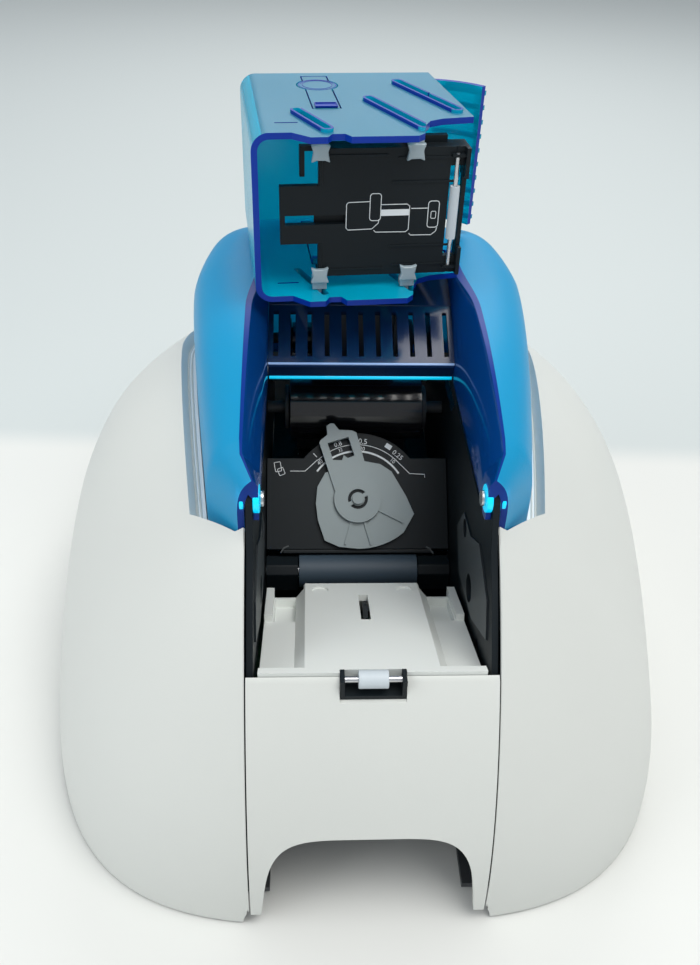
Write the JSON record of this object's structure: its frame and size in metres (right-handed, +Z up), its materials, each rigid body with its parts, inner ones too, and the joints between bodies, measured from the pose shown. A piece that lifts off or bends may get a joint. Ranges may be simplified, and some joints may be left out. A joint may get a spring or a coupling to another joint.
{
  "type": "id card printer",
  "caption": "Desktop card printer: egg-shaped white side shells, hinged blue lid, open card feeder with thickness gauge, and the lifted-off feeder cover lying on the lid.",
  "frame": {"origin": "on the table under the middle of the body", "axes": "+X to the printer's right seen from the feeder, +Y from the feeder end to the card exit, +Z up"},
  "size_m": [0.29, 0.3439, 0.2591],
  "materials": {
    "white_plastic": "fine satin",
    "black_plastic": "satin",
    "base_plastic": "matt",
    "blue_plastic": "polished translucent",
    "frosted_blue": "translucent satin",
    "grey_plastic": "satin",
    "clear_plastic": "translucent",
    "rubber_black": "matt",
    "feed_rubber": "matt",
    "white_rubber": "matt",
    "steel": "turned",
    "film": "glossy",
    "board_green": "solder mask",
    "natural_plastic": "satin",
    "head_metal": "anodised",
    "light_green": "translucent"
  },
  "bodies": {
    "chassis": {"left_shell": "white_plastic", "right_shell": "white_plastic", "front_panel": "white_plastic", "rear_panel": "white_plastic", "base_plate": "base_plastic", "feet": "rubber_black", "left_frame": "black_plastic", "right_frame": "black_plastic", "cross_rods": "steel", "feeder_tray": "white_plastic", "roller_cup": "black_plastic", "gauge_plate": "black_plastic", "gauge_pin": "grey_plastic", "card_guide": "black_plastic", "drive_motor": "steel", "drive_belt": "rubber_black", "main_board": "board_green", "power_inlet": "black_plastic", "data_port": "steel", "status_lights": "light_green", "chassis_screws": "steel"},
    "lever": {"thickness_lever": "grey_plastic"},
    "feed": {"feed_roller": "feed_rubber", "feed_shaft": "steel", "feed_pulley": "natural_plastic"},
    "idle": {"idle_roller": "white_rubber", "idle_shaft": "steel"},
    "flag": {"card_flag": "black_plastic"},
    "cleaner": {"cleaning_roller": "white_rubber", "cleaning_shaft": "steel"},
    "platen": {"platen_roller": "rubber_black", "platen_shaft": "steel", "platen_pulley": "natural_plastic"},
    "exit": {"exit_roller": "rubber_black", "exit_shaft": "steel"},
    "motor_drive": {"motor_pulley": "natural_plastic"},
    "supply_spool": {"supply_core": "base_plastic", "supply_film": "film"},
    "takeup_spool": {"takeup_core": "base_plastic", "takeup_film": "film"},
    "button": {"control_button": "frosted_blue"},
    "lid": {"printer_lid": "blue_plastic", "slotted_panel": "blue_plastic", "lid_pins": "steel", "head_bracket": "base_plastic", "print_head": "head_metal"},
    "cover": {"feeder_cover": "frosted_blue"},
    "top_latch": {"top_latch": "frosted_blue"},
    "bottom_latch": {"bottom_latch": "frosted_blue"},
    "pusher": {"pusher_plate": "black_plastic", "plate_clips": "clear_plastic", "pusher_springs": "steel"},
    "roller": {"pusher_roller": "white_rubber", "pusher_shaft": "steel"}
  },
  "joints": [
    {"name": "lid_hinge", "type": "hinge", "parent": "chassis", "child": "lid", "pos_m": [0, -0.0935, 0.155], "axis": [1, 0, 0], "range_deg": [0, 60]},
    {"name": "gauge_lever_turn", "type": "hinge", "parent": "chassis", "child": "lever", "pos_m": [0, -0.01351, 0.08919], "axis": [0, -0.682, 0.7314], "range_deg": [-60, 26]},
    {"name": "feed_roller_turn", "type": "hinge", "parent": "chassis", "child": "feed", "pos_m": [0, -0.0345, 0.06281], "axis": [1, 0, 0], "continuous": true},
    {"name": "platen_turn", "type": "hinge", "parent": "chassis", "child": "platen", "pos_m": [0, 0.0635, 0.0575], "axis": [1, 0, 0], "continuous": true},
    {"name": "motor_turn", "type": "hinge", "parent": "chassis", "child": "motor_drive", "pos_m": [0, 0.0235, 0.028], "axis": [1, 0, 0], "continuous": true},
    {"name": "idle_turn", "type": "hinge", "parent": "chassis", "child": "idle", "pos_m": [0, -0.136, 0.10496], "axis": [1, 0, 0], "continuous": true},
    {"name": "cleaner_turn", "type": "hinge", "parent": "chassis", "child": "cleaner", "pos_m": [0, 0.0035, 0.072], "axis": [1, 0, 0], "continuous": true},
    {"name": "exit_turn", "type": "hinge", "parent": "chassis", "child": "exit", "pos_m": [0, 0.1075, 0.0575], "axis": [1, 0, 0], "continuous": true},
    {"name": "supply_turn", "type": "hinge", "parent": "chassis", "child": "supply_spool", "pos_m": [0, 0.0335, 0.112], "axis": [1, 0, 0], "continuous": true},
    {"name": "takeup_turn", "type": "hinge", "parent": "chassis", "child": "takeup_spool", "pos_m": [0, 0.1045, 0.112], "axis": [1, 0, 0], "continuous": true},
    {"name": "card_flag_swing", "type": "hinge", "parent": "chassis", "child": "flag", "pos_m": [0, -0.07752, 0.07811], "axis": [1, 0, 0], "range_deg": [0, 18], "stiffness_Nm_per_rad": 0.004, "springref_deg": -17.19},
    {"name": "button_press", "type": "slide", "parent": "chassis", "child": "button", "axis": [0, -1, 0], "range_m": [0, 0.0015], "stiffness_N_per_m": 400, "springref_m": -0.0015},
    {"name": "cover_lift_off", "type": "slide", "parent": "lid", "child": "cover", "axis": [0, 0, 1], "range_m": [0, 0.08]},
    {"name": "top_latch_press", "type": "hinge", "parent": "cover", "child": "top_latch", "pos_m": [-0.02119, 0.0779, 0.25645], "axis": [0.9945, 0.1045, 0], "range_deg": [0, 3], "stiffness_Nm_per_rad": 0.6, "springref_deg": -2.86},
    {"name": "bottom_latch_press", "type": "hinge", "parent": "cover", "child": "bottom_latch", "pos_m": [-0.02119, 0.0779, 0.18995], "axis": [-0.9945, -0.1045, 0], "range_deg": [0, 3], "stiffness_Nm_per_rad": 0.6, "springref_deg": -2.86},
    {"name": "pusher_slide", "type": "slide", "parent": "cover", "child": "pusher", "axis": [-0.454, 0.891, 0], "range_m": [0, 0.02], "stiffness_N_per_m": 60, "springref_m": -0.01},
    {"name": "pusher_roller_turn", "type": "hinge", "parent": "pusher", "child": "roller", "pos_m": [0.03563, 0.00886, 0.2232], "axis": [0, 0, 1], "continuous": true}
  ],
  "couplings": [
    {"joint": "platen_turn", "follows": "feed_roller_turn", "ratio": 1},
    {"joint": "motor_turn", "follows": "feed_roller_turn", "ratio": 1.4286}
  ]
}
